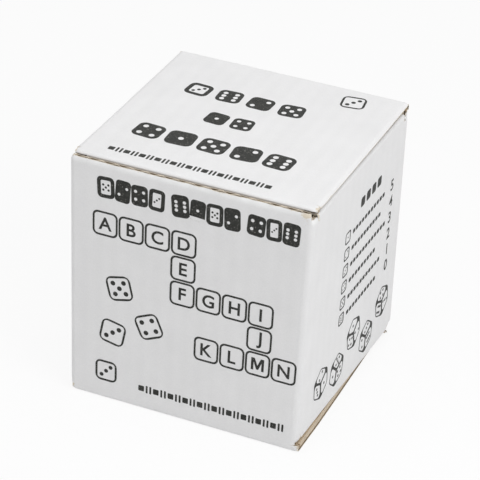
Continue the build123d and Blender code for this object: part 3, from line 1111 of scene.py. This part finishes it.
def printing_ink():
    made, tree, shader = finish_of("black_print", 0.62, 0.25)
    points = object_points(tree)
    specks = place(tree, "ShaderNodeTexNoise", {
        "Vector": points, "Scale": 3600.0, "Detail": 4.0}).outputs["Fac"]
    missed = reckon(tree, "MULTIPLY", spread(tree, specks, 0.6, 0.72), 0.42)
    dark = scaled(tree, ink_colour, blotches(tree, points, 700.0, 3.0, 0.7, 1.25))
    coloured(tree, shader, mixed(tree, missed, dark, missed_colour))
    return made


black_print = printing_ink()


def rounded(points, radius, steps=4):
    """A closed outline with its corners rounded."""
    outline = []
    for before, here, after in zip(points[-1:] + points[:-1], points, points[1:] + points[:1]):
        here = Vector(here)
        back, on = (Vector(before) - here).normalized(), (Vector(after) - here).normalized()
        half = back.angle(on) / 2
        reach = radius / tan(half)
        start, end = here + back * reach, here + on * reach
        middle = here + (back + on).normalized() * (radius / sin(half))
        first, last = (atan2(at.y - middle.y, at.x - middle.x) for at in (start, end))
        swing = (last - first + pi) % (2 * pi) - pi
        outline += [(middle.x + radius * cos(first + swing * i / steps),
                     middle.y + radius * sin(first + swing * i / steps))
                    for i in range(steps + 1)]
    return outline


def turned(x, y, points, tilt):
    """Points about (x, y), turned by tilt degrees."""
    c, s = cos(radians(tilt)), sin(radians(tilt))
    return [(x + a * c - b * s, y + a * s + b * c) for a, b in points]


def box_outline(x, y, wide, high, radius, tilt=0.0):
    corners = [(-wide / 2, -high / 2), (wide / 2, -high / 2), (wide / 2, high / 2),
               (-wide / 2, high / 2)]
    return rounded(turned(x, y, corners, tilt), radius)


def pips(x, y, count, spread_out, size, tilt=0.0):
    """Round spots, set out as on a die's face."""
    pair, other = [(-1, -1), (1, 1)], [(1, -1), (-1, 1)]
    spots = {1: [(0, 0)], 2: pair, 3: [pair[0], (0, 0), pair[1]], 4: [pair[0], *other, pair[1]],
             5: [pair[0], other[0], (0, 0), other[1], pair[1]],
             6: [(-1, -1), (-1, 0), (-1, 1), (1, -1), (1, 0), (1, 1)]}[count]
    middles = turned(x, y, [(spread_out * a, spread_out * b) for a, b in spots], tilt)
    return [[(a + size * cos(k * pi / 6), b + size * sin(k * pi / 6)) for k in range(12)]
            for a, b in middles]


def solid_die(x, y, wide, high, count, tilt):
    """A black die face with bare pips."""
    return [box_outline(x, y, wide, high, 0.24 * wide, tilt)] + pips(
        x, y, count, 0.24 * wide, 0.1 * wide, tilt)


def open_die(x, y, wide, high, count, tilt, stroke):
    """A bare die face with a heavy outline and black pips."""
    room = wide / 2 - stroke
    return [box_outline(x, y, wide, high, 0.26 * wide, tilt),
            box_outline(x, y, 2 * room, high - 2 * stroke, 0.3 * room, tilt)] + pips(
                x, y, count, 0.52 * room, 0.23 * room, tilt)


def open_tile(x, y, size, radius, inner_size, inner_radius):
    """A bare square tile with a thin outline."""
    return [box_outline(x, y, size, size, radius),
            box_outline(x, y, inner_size, inner_size, inner_radius)]


def drawn_die(x, y, size, tilt, counts):
    """A die drawn from its corner, with three faces."""
    angles = [radians(30 + 60 * k + tilt) for k in range(6)]
    corner = [(x + size / 2 * cos(a), y + size / 2 * sin(a)) for a in angles]
    outlines = [rounded(corner, 0.16 * size)]
    for k, count in enumerate(counts):
        face = [(x, y), corner[2 * k], corner[(2 * k + 1) % 6], corner[(2 * k + 2) % 6]]
        mx, my = sum(p[0] for p in face) / 4, sum(p[1] for p in face) / 4
        smaller = [(mx + (a - mx) * 0.83, my + (b - my) * 0.83) for a, b in face]
        outlines.append(rounded(smaller, 0.09 * size))
        outlines += pips(mx, my, count, 0.085 * size, 0.04 * size, tilt + 60 * k)
    return outlines


def ornament(first, last, y, high):
    """A plain border of small squares and bars."""
    outlines, x, i = [], first, 0
    while x < last - 0.7 * high:
        wide, tall = ((0.72, 0.72), (0.24, 1.0), (0.24, 1.0))[i % 3]
        outlines.append(box_outline(x + wide * high / 2, y, wide * high, high * tall,
                                    0.1 * high))
        x += wide * high + 0.22 * high
        i += 1
    return outlines


def print_sheet(name, body, outlines, glyphs, origin, across, up):
    """All that is printed on one face, in millimetres from an origin on it."""
    shape = bmesh.new()
    shape.from_mesh(mesh_of(drawing(name, outlines)))
    for text, x, y, high in glyphs:
        glyph = flat_glyph(text, high, 0.026)
        glyph.transform(Matrix.Translation((x, y, 0)))
        shape.from_mesh(glyph)
    bmesh.ops.remove_doubles(shape, verts=shape.verts, dist=1e-4)
    bmesh.ops.recalc_face_normals(shape, faces=shape.faces)
    mesh = bpy.data.meshes.new(name)
    shape.to_mesh(mesh)
    shape.free()
    across, up = Vector(across), Vector(up)
    out = across.cross(up)
    scale = Matrix.Diagonal((mm, mm, ink_depth / 2 / glyph_depth, 1))
    turn = Matrix((across, up, out)).transposed().to_4x4()
    mesh.transform(Matrix.Translation(Vector(origin) - out * (print_room - ink_rise))
                   @ turn @ scale)
    mesh.materials.append(black_print)
    made = add_object(name, mesh)
    (sagged if body == "lid" else leaned)(made)
    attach(made, body)


# The front: a band of die faces, a stair of lettered tiles, three loose dice, and a fourth at
# the foot beside a border.
front_outlines = []
band_x, band_z = -20.9, 52.3
die_gap, group_gap = 0.2, 1.5
for i in range(11):
    wide, high = (4.0, 3.45, 3.8, 3.65)[i % 4], (5.0, 5.2, 4.8)[i % 3]
    count, tilt = (5, 2, 4, 3, 6, 1)[i % 6], (3, -4, 2, -2, 5, -3, 1)[i % 7]
    face = (band_x + wide / 2, band_z, wide, high, count, tilt)
    front_outlines += solid_die(*face) if i % 3 else open_die(*face, 0.85)
    band_x += wide + (group_gap if i in (3, 7) else die_gap)
stair_x, stair_z, stair_pitch = -19.0, 43.6, 6.05
stair = [(0, 0), (1, 0), (2, 0), (3, 0), (3, 1), (3, 2), (4, 2), (5, 2), (6, 2), (6, 3), (4, 4),
         (5, 4), (6, 4), (7, 4)]
front_glyphs = []
for letter, (column, row) in zip("ABCDEFGHIJKLMN", stair):
    x, z = stair_x + column * stair_pitch, stair_z - row * stair_pitch
    front_outlines += open_tile(x, z, 5.85, 1.25, 4.95, 0.85)
    front_glyphs.append((letter, x, z, 3.0))
for x, z, tilt, count in ((-15.5, 28.8, 14, 5), (-17.0, 17.4, -11, 3), (-8.4, 21.3, 24, 4)):
    front_outlines += open_die(x, z, 5.9, 5.9, count, tilt, 0.48)
front_outlines += open_die(-18.5, 7.2, 5.2, 5.2, 3, 0, 0.5) + ornament(-10.6, 25.3, 5.3, 1.9)
print_sheet("front_print", "sleeve", front_outlines, front_glyphs, (0, front_low.y, 0),
            (1, 0, 0), (0, 0, 1))

# The lid: die faces in three rows, larger than the front's, with a loose one and a border.
lid_outlines = []
for x, y, wide, high, gap, counts in (
        (-15.6, 11.2, 5.6, 5.4, 1.7, (3, 6, 2, 5)), (-6.6, 0.6, 4.8, 5.0, 1.15, (1, 4)),
        (-17.0, -11.0, 6.3, 6.0, 1.15, (4, 1, 5, 2, 6))):
    for i, count in enumerate(counts):
        face = (x, y, wide, high, count, (-4, 3, -2, 5, -3)[i])
        lid_outlines += solid_die(*face) if (i + count) % 3 else open_die(*face, 1.0)
        x += wide + gap
lid_outlines += open_die(16.6, 21.2, 5.4, 5.4, 3, 8, 0.5) + ornament(-21.2, 15.7, -21.5, 1.9)
print_sheet("lid_print", "lid", lid_outlines, [], (0, 0, cad_high.z), (1, 0, 0), (0, 1, 0))

# The right wall: a heading of four squares, a table of six tiles with bars and numbers, and
# dice drawn from a corner.
heading_z, table_z, row_step = 47.0, 42.0, 4.05
tile_y, bar_y, bar_pitch, number_y = -6.2, -2.8, 1.72, 19.6
side_outlines = [box_outline(y, heading_z, 2.3, 2.3, 0.5) for y in (1.4, 4.6, 7.8, 11.0)]
side_glyphs = []
for i, bars in enumerate((11, 10, 12, 9, 11, 10)):
    z = table_z - row_step * i
    side_outlines += open_tile(tile_y, z, 2.9, 0.65, 2.2, 0.4)
    side_outlines += pips(tile_y, z, i + 1, 0.52, 0.2)
    side_outlines += [box_outline(bar_y + bar_pitch * k, z, 1.3, 1.0, 0.25)
                      for k in range(bars)]
    side_glyphs.append((str(5 - i), number_y, z, 2.7))
for y, z, tilt, counts in (
        (-15.4, 10.6, 6, (2, 3, 1)), (-6.4, 8.9, -9, (5, 1, 4)), (2.4, 13.4, 14, (1, 4, 2)),
        (10.4, 8.0, -4, (3, 2, 6)), (19.2, 12.4, 9, (4, 6, 3))):
    side_outlines += drawn_die(y, z, 8.4, tilt, counts)
print_sheet("side_print", "sleeve", side_outlines, side_glyphs, (right_high.x, 0, 0),
            (0, 1, 0), (0, 0, 1))

# THE PHOTOGRAPH'S VIEW
# A long lens looks down on the front right corner, a little tilted. The light is soft and comes
# from everywhere, most from above and from the right.

camera_place = Vector((170.25, -411.57, 291.07)) * mm
camera_azimuth = radians(22.435)
camera_elevation = radians(30.306)
camera_roll = radians(2.694)

camera_data = bpy.data.cameras.new("camera")
camera_data.lens = 177.97
camera_data.sensor_width = 36.0
camera_data.clip_start = 0.01
camera = add_object("camera", camera_data)
looking = Vector((-sin(camera_azimuth) * cos(camera_elevation),
                  cos(camera_azimuth) * cos(camera_elevation), -sin(camera_elevation)))
camera.rotation_mode = "QUATERNION"
camera.rotation_quaternion = (looking.to_track_quat("-Z", "Y")
                              @ Quaternion((0, 0, 1), camera_roll))
camera.location = camera_place
bpy.context.scene.camera = camera

floor_size = 6.0
floor_glow = 0.88
sky_light = 0.4


def seen_rays(tree):
    """1 where the camera, a reflection or a clear piece looks, and 0 where light falls."""
    rays = place(tree, "ShaderNodeLightPath").outputs
    return reckon(tree, "MAXIMUM", rays["Is Camera Ray"], reckon(
        tree, "MAXIMUM", rays["Is Glossy Ray"], rays["Is Transmission Ray"]))


floor_mesh = bpy.data.meshes.new("floor")
corners = [(x * floor_size, y * floor_size, 0) for x, y in ((-1, -1), (1, -1), (1, 1), (-1, 1))]
floor_mesh.from_pydata(corners, [], [(0, 1, 2, 3)])
floor = add_object("floor", floor_mesh)
floor_white, floor_tree, floor_shader = finish_of("floor_white", 0.9, 0.0)
floor_shader.inputs["Base Color"].default_value = (0.84, 0.84, 0.84, 1)
glow = place(floor_tree, "ShaderNodeEmission", {"Color": (1, 1, 1, 1), "Strength": 1.0})
blend = place(floor_tree, "ShaderNodeMixShader", {
    0: reckon(floor_tree, "MULTIPLY", seen_rays(floor_tree), floor_glow),
    1: floor_shader.outputs[0], 2: glow.outputs[0]})
floor_tree.links.new(blend.outputs[0], floor_tree.nodes["Material Output"].inputs["Surface"])
floor_mesh.materials.append(floor_white)

world = bpy.data.worlds.new("studio")
bpy.context.scene.world = world
world.use_nodes = True
sky = world.node_tree
background = sky.nodes["Background"]
background.inputs["Color"].default_value = (1, 1, 1, 1)
strength = reckon(sky, "MULTIPLY_ADD", seen_rays(sky), 1.0 - sky_light, sky_light)
sky.links.new(strength, background.inputs["Strength"])


def soft_lamp(name, place_at, size, power):
    data = bpy.data.lights.new(name, "AREA")
    data.shape = "SQUARE"
    data.size = size
    data.energy = power
    lamp = add_object(name, data)
    lamp.location = place_at
    lamp.rotation_mode = "QUATERNION"
    lamp.rotation_quaternion = (-Vector(place_at)).to_track_quat("-Z", "Y")


soft_lamp("top_softbox", (0.05, -0.1, 1.0), 0.8, 4.0)
soft_lamp("right_softbox", (0.42, -0.16, 0.36), 0.3, 1.08)
soft_lamp("left_softbox", (-0.3, -0.3, 0.32), 0.25, 0.26)

bpy.context.scene.view_settings.view_transform = "Standard"
